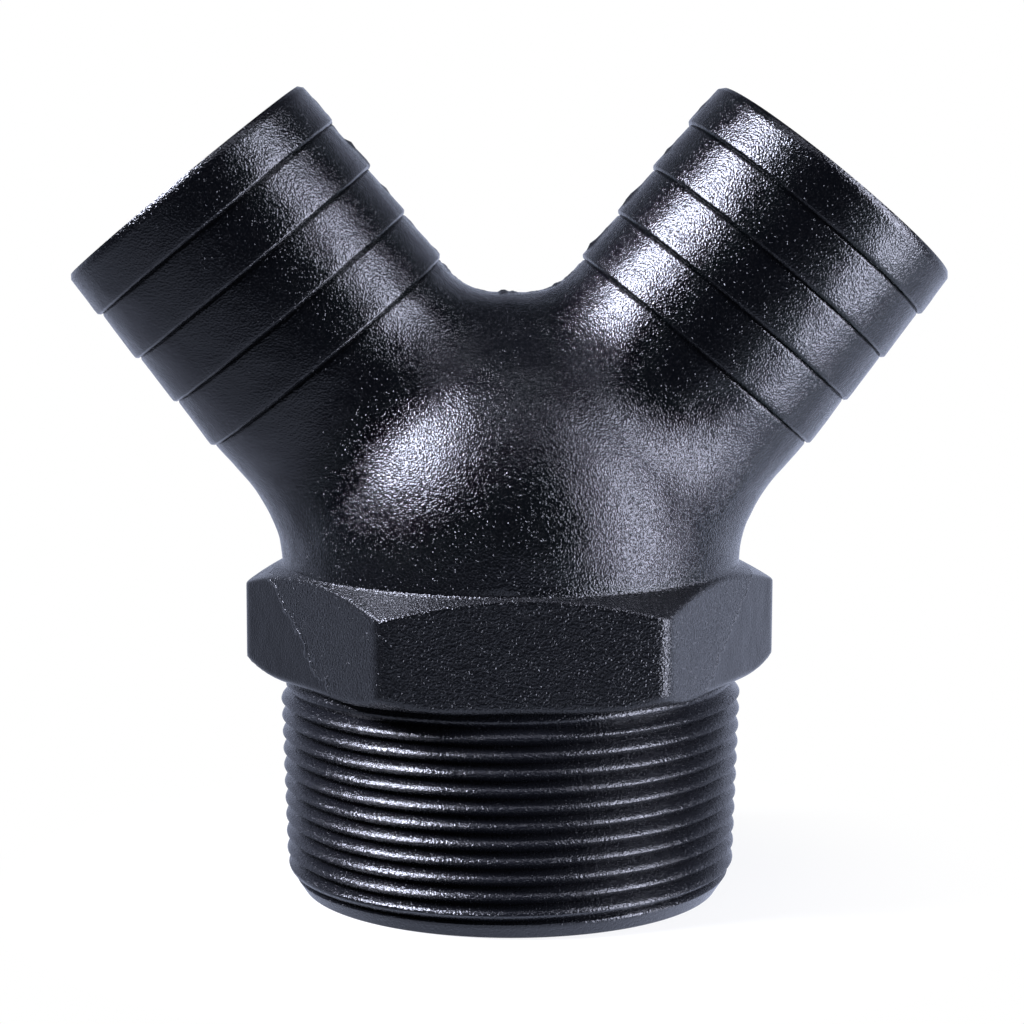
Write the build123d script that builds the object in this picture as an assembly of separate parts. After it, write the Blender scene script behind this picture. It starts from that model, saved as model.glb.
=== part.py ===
"""Cast wye fitting: one taper-threaded inlet below a hexagon collar, and two splayed hose barbs above it.

One casting, so one solid. The frame stands on the threaded end: the origin is the middle of its
bottom face, +Z runs up the inlet's axis, and both arms lie in the XZ plane. Lengths are millimetres.
"""
import os
from math import atan, ceil, cos, degrees, radians, sin, tan

from build123d import *

# Threaded end: the two-inch taper pipe size, measured over its blunt crests, right hand
THREAD_END_DIAMETER = 58.4
THREAD_TAPER = 1 / 16  # growth of the diameter with height
THREAD_PITCH = 25.4 / 11.5
THREAD_DEPTH = 1.55
THREAD_TOP = 26.57  # height at which the last turn stops, at the back
CREST_WIDTH = 0.4  # along the axis, like the root's
ROOT_WIDTH = 0.2
ROOT_OVERLAP = 0.31  # how far the ridge reaches into the core
LEAD_IN_HEIGHT = 3.2
LEAD_IN_DEPTH = 2.2

# Hexagon collar: a wrench fits across its flats, and a cone trims its corners above and below
HEX_SIDE_COUNT = 6
HEX_ACROSS_FLATS = 60.2
HEX_CORNER_RADIUS = 1.0
HEX_CORNER_LOW = 30.3
HEX_CORNER_HEIGHT = 9.6
HEX_UNDERSIDE_HEIGHT = 2.0
HEX_UNDERSIDE_SLOPE = 30.0
HEX_SHOULDER_SLOPE = 28.0

# Body: a round barrel closed by a dome
BODY_DIAMETER = 59.2
DOME_CENTRE_HEIGHT = 46.0

# Arms: both axes meet the inlet's axis at one point and lean away from it
ARM_LEAN = 39.4
ARM_MEETING_HEIGHT = 41.1
ARM_LENGTH = 65.6  # from the meeting point to the mouth
NECK_DIAMETER = 37.2
CROTCH_FLAT = 2.8  # width of the level part between the arms
CROTCH_RADIUS = 9.5
JUNCTION_FILLET = 14.5

# Hose barbs: saw-tooth bands whose crests face the body, each a little smaller than the one before it
BAND_COUNT = 4
CREST_DIAMETER = 38.8
CREST_STEP_DOWN = 0.22  # on the diameter, from band to band
CREST_LAND = 1.0
BAND_RISE = 0.33
FIRST_BAND = 6.3
BAND_PITCH = 7.28
MOUTH_CORNER_BREAK = 0.4

# Waterway
INLET_BORE = 49.0
DOME_WALL = 5.1
ARM_BORE = 31.0
BORE_EDGE_BREAK = 0.8

SIDES = (-1, 1)
LEAN = radians(ARM_LEAN)
BODY_RADIUS = BODY_DIAMETER / 2
NECK_RADIUS = NECK_DIAMETER / 2
HEX_CORNER_REACH = HEX_ACROSS_FLATS / 2 / cos(radians(180 / HEX_SIDE_COUNT))
HEX_MIDDLE = HEX_CORNER_LOW + HEX_CORNER_HEIGHT / 2
BEND_RADIUS = NECK_RADIUS + CROTCH_RADIUS
LAST_CREST = ARM_LENGTH - FIRST_BAND - (BAND_COUNT - 1) * BAND_PITCH


def thread_radius(height):
    """Radius over the thread's crests at a height above the bottom face."""
    return (THREAD_END_DIAMETER + THREAD_TAPER * height) / 2


def along_arm(side, distance):
    """Point on an arm's axis, at a distance from where the axes meet."""
    return Vector(side * distance * sin(LEAN), 0, ARM_MEETING_HEIGHT + distance * cos(LEAN))


def arm_plane(side, distance):
    """Plane square to an arm, its normal pointing out of the mouth and its Y along the row's Y."""
    outward = Vector(side * sin(LEAN), 0, cos(LEAN))
    return Plane(origin=along_arm(side, distance), x_dir=Vector(0, 1, 0).cross(outward), z_dir=outward)


def turned(points):
    """Solid turned about Z from a closed outline of (radius, height) corners."""
    outline = Plane.YZ * make_face(Polyline(*points, close=True))
    return revolve(outline, axis=Axis.Z)


def thread_ridge():
    """One swept ridge of the thread, from below the bottom face up to the last turn's end at the back."""
    turns = ceil(THREAD_TOP / THREAD_PITCH + 1 / 2) + 1 / 4
    start = THREAD_TOP - turns * THREAD_PITCH
    crest = thread_radius(start)
    root = crest - THREAD_DEPTH
    half_base = (THREAD_PITCH - ROOT_WIDTH) / 2
    buried = root - ROOT_OVERLAP
    corners = [
        (buried, start - half_base),
        (root, start - half_base),
        (crest, start - CREST_WIDTH / 2),
        (crest, start + CREST_WIDTH / 2),
        (root, start + half_base),
        (buried, start + half_base),
    ]
    path = Helix(
        pitch=THREAD_PITCH,
        height=turns * THREAD_PITCH,
        radius=root,
        center=(0, 0, start),
        cone_angle=degrees(atan(THREAD_TAPER / 2)),
    )
    return sweep(Plane.XZ * make_face(Polyline(*corners, close=True)), path=path, is_frenet=True)


def threaded_end():
    """Tapered core with the thread's ridge round it, trimmed by the lead-in cone and the bottom face."""
    low = -3 * THREAD_PITCH
    core = turned([
        (0, low),
        (thread_radius(low) - THREAD_DEPTH, low),
        (thread_radius(HEX_MIDDLE) - THREAD_DEPTH, HEX_MIDDLE),
        (0, HEX_MIDDLE),
    ])
    mouth = thread_radius(LEAD_IN_HEIGHT) - LEAD_IN_DEPTH
    clear = 2 * THREAD_DEPTH
    lead_in = turned([
        (0, 0),
        (mouth, 0),
        (mouth + LEAD_IN_DEPTH + clear, LEAD_IN_HEIGHT * (1 + clear / LEAD_IN_DEPTH)),
        (mouth + LEAD_IN_DEPTH + clear, HEX_MIDDLE + clear),
        (0, HEX_MIDDLE + clear),
    ])
    return (core + thread_ridge()) & lead_in


def hexagon_collar():
    """Wrench hexagon with rounded corners, coned above and below."""
    low = HEX_CORNER_LOW
    high = HEX_CORNER_LOW + HEX_CORNER_HEIGHT
    foot = low - HEX_UNDERSIDE_HEIGHT
    top = high + HEX_CORNER_REACH * tan(radians(HEX_SHOULDER_SLOPE))
    foot_radius = HEX_CORNER_REACH - HEX_UNDERSIDE_HEIGHT / tan(radians(HEX_UNDERSIDE_SLOPE))
    outline = RegularPolygon(HEX_ACROSS_FLATS / 2, HEX_SIDE_COUNT, major_radius=False)
    prism = extrude(Plane.XY.offset(foot) * outline, top - foot)
    prism = fillet(prism.edges().filter_by(Axis.Z), HEX_CORNER_RADIUS)
    cones = turned([
        (0, foot),
        (foot_radius, foot),
        (HEX_CORNER_REACH, low),
        (HEX_CORNER_REACH, high),
        (0, top),
    ])
    return prism & cones


def barrel():
    """Round body under a hemispherical dome."""
    start = (BODY_RADIUS, HEX_MIDDLE)
    shoulder = (BODY_RADIUS, DOME_CENTRE_HEIGHT)
    crown = (0, DOME_CENTRE_HEIGHT + BODY_RADIUS)
    foot = (0, HEX_MIDDLE)
    middle = (BODY_RADIUS * cos(radians(45)), DOME_CENTRE_HEIGHT + BODY_RADIUS * sin(radians(45)))
    edges = Line(foot, start) + Line(start, shoulder)
    edges += ThreePointArc(shoulder, middle, crown) + Line(crown, foot)
    return revolve(Plane.YZ * make_face(edges), axis=Axis.Z)


def bend_corner(side):
    """Point where an arm's axis meets the level axis of the piece between both bends."""
    offset = CROTCH_FLAT / 2 + BEND_RADIUS * tan((radians(90) - LEAN) / 2)
    return along_arm(side, offset / sin(LEAN))


def arm_tube():
    """Both necks as one tube, bent over the body so that the crotch is a smooth saddle.

    It runs on inside the barbs as far as their first crests.
    """
    reach = ARM_LENGTH - FIRST_BAND
    route = FilletPolyline(
        along_arm(-1, reach),
        bend_corner(-1),
        bend_corner(1),
        along_arm(1, reach),
        radius=BEND_RADIUS,
    )
    section = Plane(origin=along_arm(-1, reach), x_dir=(0, 1, 0), z_dir=(sin(LEAN), 0, -cos(LEAN)))
    return sweep(section * Circle(NECK_RADIUS), path=route)


def junction():
    """Body and arms grown together, with a cast fillet all along the seam between them."""
    body = barrel()
    arms = arm_tube()
    joined = body + arms
    seam = [edge for edge in joined.edges() if edge.geom_type == GeomType.BSPLINE]
    return fillet(seam, JUNCTION_FILLET)


def barb_outline():
    """Closed outline of one barb: (radius, height above the last crest), mouth at the top."""
    length = ARM_LENGTH - LAST_CREST
    points = [(0, 0)]
    for band in reversed(range(BAND_COUNT)):
        crest = (CREST_DIAMETER - band * CREST_STEP_DOWN) / 2
        foot = length - FIRST_BAND - band * BAND_PITCH
        points += [(crest, foot), (crest, foot + CREST_LAND)]
        if band > 0:
            points.append((crest - BAND_RISE, foot + BAND_PITCH))
    lip = CREST_DIAMETER / 2 - BAND_RISE
    points += [(lip, length - MOUTH_CORNER_BREAK), (lip - MOUTH_CORNER_BREAK, length), (0, length)]
    return points


def barb(side):
    """Saw-tooth hose barb at the end of one arm."""
    return arm_plane(side, LAST_CREST) * turned(barb_outline())


def waterway():
    """Inlet bore under a domed chamber, with one straight bore up each arm."""
    inlet = INLET_BORE / 2
    chamber = BODY_RADIUS - DOME_WALL
    spring = DOME_CENTRE_HEIGHT
    crown = (0, spring + chamber)
    middle = (chamber * cos(radians(45)), spring + chamber * sin(radians(45)))
    foot = (0, 0)
    mouth = (inlet + BORE_EDGE_BREAK, 0)
    throat = (inlet, BORE_EDGE_BREAK)
    top = (inlet, spring)
    shoulder = (chamber, spring)
    edges = Line(foot, mouth) + Line(mouth, throat) + Line(throat, top)
    if top != shoulder:
        edges += Line(top, shoulder)
    edges += ThreePointArc(shoulder, middle, crown) + Line(crown, foot)
    space = revolve(Plane.YZ * make_face(edges), axis=Axis.Z)
    for side in SIDES:
        space += arm_plane(side, 0) * turned(arm_bore_outline())
    return space


def arm_bore_outline():
    """Closed outline of an arm's bore, with a broken edge at the mouth."""
    bore = ARM_BORE / 2
    return [
        (0, 0),
        (bore, 0),
        (bore, ARM_LENGTH - BORE_EDGE_BREAK),
        (bore + BORE_EDGE_BREAK, ARM_LENGTH),
        (0, ARM_LENGTH),
    ]


def wye_body():
    """The whole casting."""
    solid = junction() + threaded_end() + hexagon_collar()
    for side in SIDES:
        solid += barb(side)
    return solid - waterway()


def main():
    """Write the casting to parts/wye_body.step."""
    os.makedirs("parts", exist_ok=True)
    casting = wye_body()
    casting.label = "wye_body"
    export_step(casting, "parts/wye_body.step")
    print("solids", len(casting.solids()), "volume", round(casting.volume), "valid", casting.is_valid)
    print("crotch at", round(bend_corner(1).Z + NECK_RADIUS, 2))


main()
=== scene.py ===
"""Studio scene of a cast wye fitting: taper pipe thread, hexagon collar, domed body and two hose barbs.

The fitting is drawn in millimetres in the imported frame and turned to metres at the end. Its skin is one
closed mesh: a threaded sleeve with the collar, a smooth junction, two barbs, and the waterway inside.
"""
import logging
import math
from collections.abc import Callable
from dataclasses import dataclass, field
from enum import Enum

import bmesh
import bpy
import numpy as np
from mathutils import Matrix, Vector


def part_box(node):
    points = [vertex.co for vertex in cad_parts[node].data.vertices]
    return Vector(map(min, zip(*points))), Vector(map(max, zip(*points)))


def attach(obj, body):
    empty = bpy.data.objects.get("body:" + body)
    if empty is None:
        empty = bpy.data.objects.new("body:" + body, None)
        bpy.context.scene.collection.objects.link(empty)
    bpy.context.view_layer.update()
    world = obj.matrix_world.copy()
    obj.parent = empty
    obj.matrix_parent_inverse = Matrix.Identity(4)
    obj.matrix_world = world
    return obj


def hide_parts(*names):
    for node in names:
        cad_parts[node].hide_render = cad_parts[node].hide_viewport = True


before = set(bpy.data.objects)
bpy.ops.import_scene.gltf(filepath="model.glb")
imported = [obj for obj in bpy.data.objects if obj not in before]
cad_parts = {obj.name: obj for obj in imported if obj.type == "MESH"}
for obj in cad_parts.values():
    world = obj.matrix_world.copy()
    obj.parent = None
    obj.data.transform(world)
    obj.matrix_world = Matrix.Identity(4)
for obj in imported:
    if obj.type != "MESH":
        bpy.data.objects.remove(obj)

logging.basicConfig(level=logging.INFO, format="%(message)s")
LOG = logging.getLogger("wye")

Tree = bpy.types.NodeTree
Socket = bpy.types.NodeSocket
Sizes = dict[str, float]
Formula = tuple[tuple, ...]

MM = 0.001
NODE = "wye_body"
FULL_TURN = 2 * math.pi
HEX_SIDES = 6
SHARP_ANGLE = 50.0  # degrees, past which an edge is drawn sharp

# The skin's columns and rows. Lengths are in millimetres unless a comment says otherwise
COLUMNS = 216  # columns round every ring, a multiple of twelve
CORNER_CROWDING = 0.7  # how much they crowd at the collar's corners, below 1
WELD_DISTANCE = 2e-6  # metres
CYLINDER_SIZE = (30, 30, 1)  # scale of a round grid before its tree finds its radius
UNDERSIDE_GAP = 0.005  # half the height over which the collar's underside steps out
FOOT_RISES = (UNDERSIDE_GAP, 0.06, 0.16, 0.32, 0.55, 0.8, 1.1, 1.5, 2.0, 2.5)  # above the collar's foot
FLAT_SHARES = (0.12, 0.27, 0.42, 0.57, 0.72, 0.84, 0.92, 0.965, 0.985, 1.0)  # from there up its flats
SHOULDER_SHARES = (0.06, 0.14, 0.3, 0.5, 0.68, 0.8, 0.88, 0.95, 1.0)  # from there up to the body
GROOVE_SHARES = (1.0, 0.85, 0.6, 0.3, 0.03)  # of a groove's width, before a barb's step
EDGE_SHARES = (0.03, 0.4, 0.7, 0.9, 1.05, 1.3)  # of an eased edge's width, after the step
BAND_ROWS = 7  # from a land's end to the next groove
BAND_END_GAP = 0.15  # left before that groove, or before the mouth's lip
STEP_CLEARANCE = 0.004  # by which the neck reaches past the last step

# How the junction's skin is found
SLOPE_STEP = 1e-3  # to each side of a point
LEAST_LENGTH = 1e-12  # of a slope before it is made a unit
LEAST_WIDTH = 1e-3  # of the fillet, where both surfaces run alike
CROWN_RAYS = 6 * COLUMNS + 1  # over the body, from back to front
CROWN_STEPS = 30  # taken along each ray
FIRST_SETTLE, RELAX_ROUNDS, LAST_SETTLE = 8, 60, 3  # steps on to the skin, and evenings between them

# Softness of the formulas' blends, and the casting's parting line
LEAD_BLEND = 0.3  # from the turns to the lead-in cone
EDGE_BLEND = 0.12  # of a crest's eased edge
GROOVE_BLEND = 0.06  # of a groove's upper edge
SEAM_REACH = 0.05  # beside the parting plane
FLASH_SHARE = 0.45  # of the noise, above which the flash stands up
FLASH_WAVES = 2.5  # of the flash's edge for one wave of the skin

# Finishes: parts of the patterns that all share
WAVE_SCALE = 0.16  # waves to the millimetre, so they are about 6 mm long
GRIT_TOP, GRIT_FOOT = 0.08, 0.42  # shares of the spacing at which a proud grain starts and ends to fall
GRAIN_LOW, GRAIN_HIGH = 0.3, 0.7  # range of the grain's noise
GLOSS_SWING = 0.08  # of the roughness, down on the tops of the grain and up in its hollows
NECK_MIDDLE = 26.0  # distance along an arm at which the skin starts to be smoother

# The collar's scar runs aslant up its side flats, and beyond it the skin is smoother
SCAR_SLANT = 0.58  # how far it leans outward with height
SCAR_FOOT = 6.7  # beside Z, at the height of the bottom face
SCAR_RAGGEDNESS = 3.2  # swing of its line
SCAR_NOISE = 0.45  # bends to the millimetre
SCAR_STEEPNESS, SCAR_OFFSET = 2.0, -2.7  # it stands over half a millimetre, 1.35 mm beyond its line
SCAR_SMOOTHING = 0.7  # share of the grain that is lost beyond it


class Slot(Enum):
    """Material slots of the skin, in order."""

    SKIN = 0
    THREAD = 1
    BORE = 2
    COLLAR = 3


@dataclass(frozen=True)
class Thread:
    """Two-inch taper pipe thread with rounded crests.

    Attributes:
        pitch: Height of one turn.
        end_radius: Radius over the crests at the bottom face.
        taper: Growth of that radius with height.
        depth: From crest to root.
        sharpness: Below 1, how pointed crests and roots are.
        fullness: Below 1, how much fuller crests are than roots.
        crest_height: Height of the top full crest on the left, at half a turn.
        full_height: Where the turns begin to fade.
        fade: Height over which they fade to the root.
        lead_radius: Radius of the lead-in cone at the bottom face.
        lead_slope: Growth of the cone's radius with height.
    """

    pitch: float = 25.4 / 11.5
    end_radius: float = 29.2
    taper: float = 1 / 32
    depth: float = 1.55
    sharpness: float = 0.88
    fullness: float = 0.66
    crest_height: float = 24.91
    full_height: float = 25.8
    fade: float = 2.9
    lead_radius: float = 27.2
    lead_slope: float = 0.66


@dataclass(frozen=True)
class Collar:
    """Wrench hexagon, trimmed by a cone below and one above.

    Attributes:
        flats: Half the distance across flats.
        foot: Height of its flat underside.
        low: Height at which the lower cone meets the sharp corners.
        high: Height at which the upper cone meets them.
        underside_slope: Slope of the lower cone, in degrees.
        shoulder_slope: Slope of the upper cone, in degrees.
        corner_blend: How much the corners are eased.
        edge_blend: How much the other edges are eased.
        foot_round: Radius of the rounded bottom edge.
    """

    flats: float = 30.1
    foot: float = 28.3
    low: float = 30.3
    high: float = 39.9
    underside_slope: float = 30.0
    shoulder_slope: float = 28.0
    corner_blend: float = 2.2
    edge_blend: float = 0.8
    foot_round: float = 1.1

    @property
    def corner(self) -> float:
        """Radius to a sharp corner."""
        return self.flats / math.cos(math.pi / HEX_SIDES)

    def arch(self, angle: np.ndarray) -> np.ndarray:
        """Finds the height at which the upper cone cuts the flats.

        Args:
            angle: Angles round Z.

        Returns:
            A height for each angle.
        """
        sector = FULL_TURN / HEX_SIDES
        reach = self.flats / np.cos(np.mod(angle, sector) - sector / 2)
        return self.high + (self.corner - reach) * math.tan(math.radians(self.shoulder_slope))


@dataclass(frozen=True)
class Barb:
    """Saw-tooth hose barb, measured along the arm from where both arms meet.

    Attributes:
        mouth: Distance of the mouth.
        first_band: From the mouth to the first crest.
        pitch: From band to band.
        bands: How many.
        crest: Radius of the first crest.
        step_down: How much smaller each next crest's radius is.
        land: Width of the level crest.
        rise: Drop of the radius from a crest to the next step.
        ease: Width of the eased edge of a crest.
        groove: Depth of the groove at the foot of each step.
        groove_width: Its width.
    """

    mouth: float = 65.6
    first_band: float = 6.3
    pitch: float = 7.28
    bands: int = 4
    crest: float = 19.4
    step_down: float = 0.11
    land: float = 1.0
    rise: float = 0.33
    ease: float = 0.30
    groove: float = 0.18
    groove_width: float = 0.34

    @property
    def last_crest(self) -> float:
        """Distance of the step next to the body."""
        return self.mouth - self.first_band - (self.bands - 1) * self.pitch


@dataclass(frozen=True)
class Junction:
    """A domed barrel and two leaning tubes that run into one another.

    Attributes:
        barrel: Radius of the barrel and of its dome.
        dome: Height of the dome's centre.
        tube: Radius of the tubes.
        lean: Angle of the tubes from Z, in degrees.
        meeting: Height at which their axes meet.
        bend: Radius of the tubes' bends over the body.
        level: Half width of the level piece between both bends.
        blend: Radius of the fillet between barrel and tubes.
        start: Height of the ring round the barrel where this skin starts.
        end: Distance along an arm where it ends.
        rows: Rows of faces from one to the other.
    """

    barrel: float
    dome: float
    tube: float
    lean: float
    meeting: float
    bend: float
    level: float
    blend: float
    start: float
    end: float
    rows: int

    @property
    def axis(self) -> np.ndarray:
        """Direction of the arm on the right."""
        lean = math.radians(self.lean)
        return np.array([math.sin(lean), 0.0, math.cos(lean)])

    @property
    def outward(self) -> np.ndarray:
        """Direction square to the arm on the right, down and away from the body."""
        lean = math.radians(self.lean)
        return np.array([math.cos(lean), 0.0, -math.sin(lean)])

    def barrel_distance(self, points: np.ndarray) -> np.ndarray:
        """Signed distance of points to the domed barrel."""
        height = np.maximum(points[..., 2] - self.dome, 0)
        return np.sqrt(points[..., 0] ** 2 + points[..., 1] ** 2 + height**2) - self.barrel

    def tube_distance(self, points: np.ndarray) -> np.ndarray:
        """Signed distance of points to the bent tube.

        Args:
            points: Array of points, its last axis being X, Y and Z.

        Returns:
            Distances, negative inside.
        """
        turn = math.pi / 2 - math.radians(self.lean)
        corner = self.level + self.bend * math.tan(turn / 2)
        axis_level = self.meeting + corner / math.tan(math.radians(self.lean))
        across = np.abs(points[..., 0]) - self.level
        above = points[..., 2] - axis_level - self.bend
        angle = np.arctan2(across, -above)
        on_bend = np.abs(np.hypot(across, above) - self.bend)
        shifted = points - np.array([0, 0, self.meeting])
        on_arm = np.abs(np.abs(shifted[..., 0]) * self.outward[0] + shifted[..., 2] * self.outward[2])
        on_level = np.abs(points[..., 2] - axis_level)
        away = np.where(across <= 0, on_level, np.where((angle < turn) & (above < 0), on_bend, on_arm))
        return np.hypot(away, points[..., 1]) - self.tube

    def field(self, points: np.ndarray) -> np.ndarray:
        """Signed distance to barrel and tubes with the fillet between them.

        Args:
            points: Array of points, its last axis being X, Y and Z.

        Returns:
            Distances, negative inside.
        """
        barrel, tube = self.barrel_distance(points), self.tube_distance(points)
        spread = np.sum(slope(self.barrel_distance, points) * slope(self.tube_distance, points), axis=-1)
        width = self.blend * (1 - np.clip(spread, -1, 1)) + LEAST_WIDTH
        near = np.maximum(width - np.abs(barrel - tube), 0) / width
        return np.minimum(barrel, tube) - near**2 * width / 4

    def settle(self, points: np.ndarray, steps: int) -> np.ndarray:
        """Moves points along the field's slope on to the skin.

        Args:
            points: Array of points, its last axis being X, Y and Z.
            steps: How often they are moved.

        Returns:
            The moved points.
        """
        for _ in range(steps):
            away = self.field(points)
            points = points - slope(self.field, points) * away[..., None]
        return points

    def ring(self) -> np.ndarray:
        """Finds the skin's end ring on the right arm.

        Returns:
            Its points from the outer side of the arm, by way of the back.
        """
        turns = column_turns()
        round_arm = np.cos(turns)[:, None] * self.outward + np.sin(turns)[:, None] * np.array([0, 1, 0])
        return np.array([0, 0, self.meeting]) + self.axis * self.end + self.tube * round_arm

    def crown(self) -> np.ndarray:
        """Finds the skin's line over the body in the plane between the arms.

        Returns:
            Evenly spaced points, from back to front.
        """
        rays = np.linspace(0, math.pi, CROWN_RAYS)
        ways = np.stack([0 * rays, np.cos(rays), np.sin(rays)], axis=-1)
        centre = np.array([0.0, 0.0, self.start])
        reach = np.full(len(rays), self.barrel)
        for _ in range(CROWN_STEPS):
            points = centre + ways * reach[:, None]
            reach = reach - self.field(points)
        points = centre + ways * reach[:, None]
        steps = np.linalg.norm(np.diff(points, axis=0), axis=1)
        along = np.concatenate([[0], np.cumsum(steps)])
        even = np.linspace(0, along[-1], COLUMNS // 2 + 1)
        return np.stack([np.interp(even, along, points[:, i]) for i in range(3)], axis=-1)

    def half_skin(self) -> np.ndarray:
        """Grid of points over the right half, from the barrel's half ring and the crown to the arm's ring.

        Returns:
            Array of rows by columns by 3.
        """
        angles = column_angles()
        quarter = COLUMNS // 4
        low = np.zeros((COLUMNS, 3))
        half = np.r_[np.arange(-quarter, 0), np.arange(0, quarter + 1)]
        low[half, 0] = self.barrel * np.cos(angles[half])
        low[half, 1] = self.barrel * np.sin(angles[half])
        low[half, 2] = self.start
        low[quarter : 3 * quarter + 1] = self.crown()
        high = self.ring()
        share = np.linspace(0, 1, self.rows + 1)[:, None, None]
        grid = low * (1 - share) + high * share
        grid[1:-1] = self.settle(grid[1:-1], FIRST_SETTLE)
        for _ in range(RELAX_ROUNDS):
            even = (grid[:-2] + grid[2:] + np.roll(grid, 1, 1)[1:-1] + np.roll(grid, -1, 1)[1:-1]) / 4
            grid[1:-1] = self.settle(even, 1)
        grid[1:-1] = self.settle(grid[1:-1], LAST_SETTLE)
        return grid


def slope(distance: Callable[[np.ndarray], np.ndarray], points: np.ndarray) -> np.ndarray:
    """Finds the unit slope of a distance function by central differences.

    Args:
        distance: Function that gives the distance of points.
        points: Array of points, its last axis being X, Y and Z.

    Returns:
        A unit vector for each point.
    """
    parts = []
    for axis in np.eye(3) * SLOPE_STEP:
        parts.append(distance(points + axis) - distance(points - axis))
    gradient = np.stack(parts, axis=-1)
    return gradient / np.maximum(np.linalg.norm(gradient, axis=-1, keepdims=True), LEAST_LENGTH)


def column_turns() -> np.ndarray:
    """Evenly spaced angles, one for each column."""
    return np.linspace(0, FULL_TURN, COLUMNS, endpoint=False)


def column_angles() -> np.ndarray:
    """Angles of the skin's columns round Z, crowded at the collar's corners."""
    even = np.arange(COLUMNS) * FULL_TURN / COLUMNS
    return even - CORNER_CROWDING * np.sin(HEX_SIDES * even) / HEX_SIDES


def ring_points(radius: float, height: float, angles: np.ndarray) -> np.ndarray:
    """Ring of points round Z."""
    return np.stack([radius * np.cos(angles), radius * np.sin(angles), height + 0 * angles], axis=-1)


@dataclass
class Surface:
    """Loose grids of points that are welded into one skin.

    Attributes:
        points: Blocks of points, in millimetres.
        faces: Corner numbers of each face.
        slots: Material slot of each face.
        count: Number of points so far.
    """

    points: list[np.ndarray] = field(default_factory=list)
    faces: list[np.ndarray] = field(default_factory=list)
    slots: list[np.ndarray] = field(default_factory=list)
    count: int = 0

    def add_grid(self, grid: np.ndarray, slot: Slot, shift: int = 0) -> None:
        """Adds a grid of rows of points, closed round its columns.

        Args:
            grid: Array of rows by columns by 3.
            slot: Material slot of its faces.
            shift: Rows by which the last column is joined higher to the first, for a helix.
        """
        rows, columns = grid.shape[:2]
        number = self.count + np.arange(rows * columns).reshape(rows, columns)
        self.points.append(grid.reshape(-1, 3))
        self.count += rows * columns
        inner = np.stack([number[:-1, :-1], number[:-1, 1:], number[1:, 1:], number[1:, :-1]], axis=-1)
        last, first = number[: rows - shift, -1], number[shift:, 0]
        seam = np.stack([last[:-1], first[:-1], first[1:], last[1:]], axis=-1)
        faces = np.concatenate([inner.reshape(-1, 4), seam])
        self.faces.append(faces)
        self.slots.append(np.full(len(faces), slot.value))

    def mesh(self, name: str) -> bpy.types.Mesh:
        """Makes the skin, its grids welded and its faces turned outward.

        Args:
            name: Name of the mesh.

        Returns:
            The mesh in metres, with a material for each slot.
        """
        mesh = bpy.data.meshes.new(name)
        points = np.concatenate(self.points) * MM
        mesh.from_pydata(points.tolist(), [], np.concatenate(self.faces).tolist())
        for slot in Slot:
            mesh.materials.append(bpy.data.materials[FINISHES[slot].name])
        mesh.polygons.foreach_set("material_index", np.concatenate(self.slots))
        skin = bmesh.new()
        skin.from_mesh(mesh)
        bmesh.ops.remove_doubles(skin, verts=skin.verts, dist=WELD_DISTANCE)
        bmesh.ops.recalc_face_normals(skin, faces=skin.faces)
        open_edges = sum(not edge.is_manifold for edge in skin.edges)
        skin.to_mesh(mesh)
        skin.free()
        LOG.info("%s: %d open or forked edges", name, open_edges)
        return mesh


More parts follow.
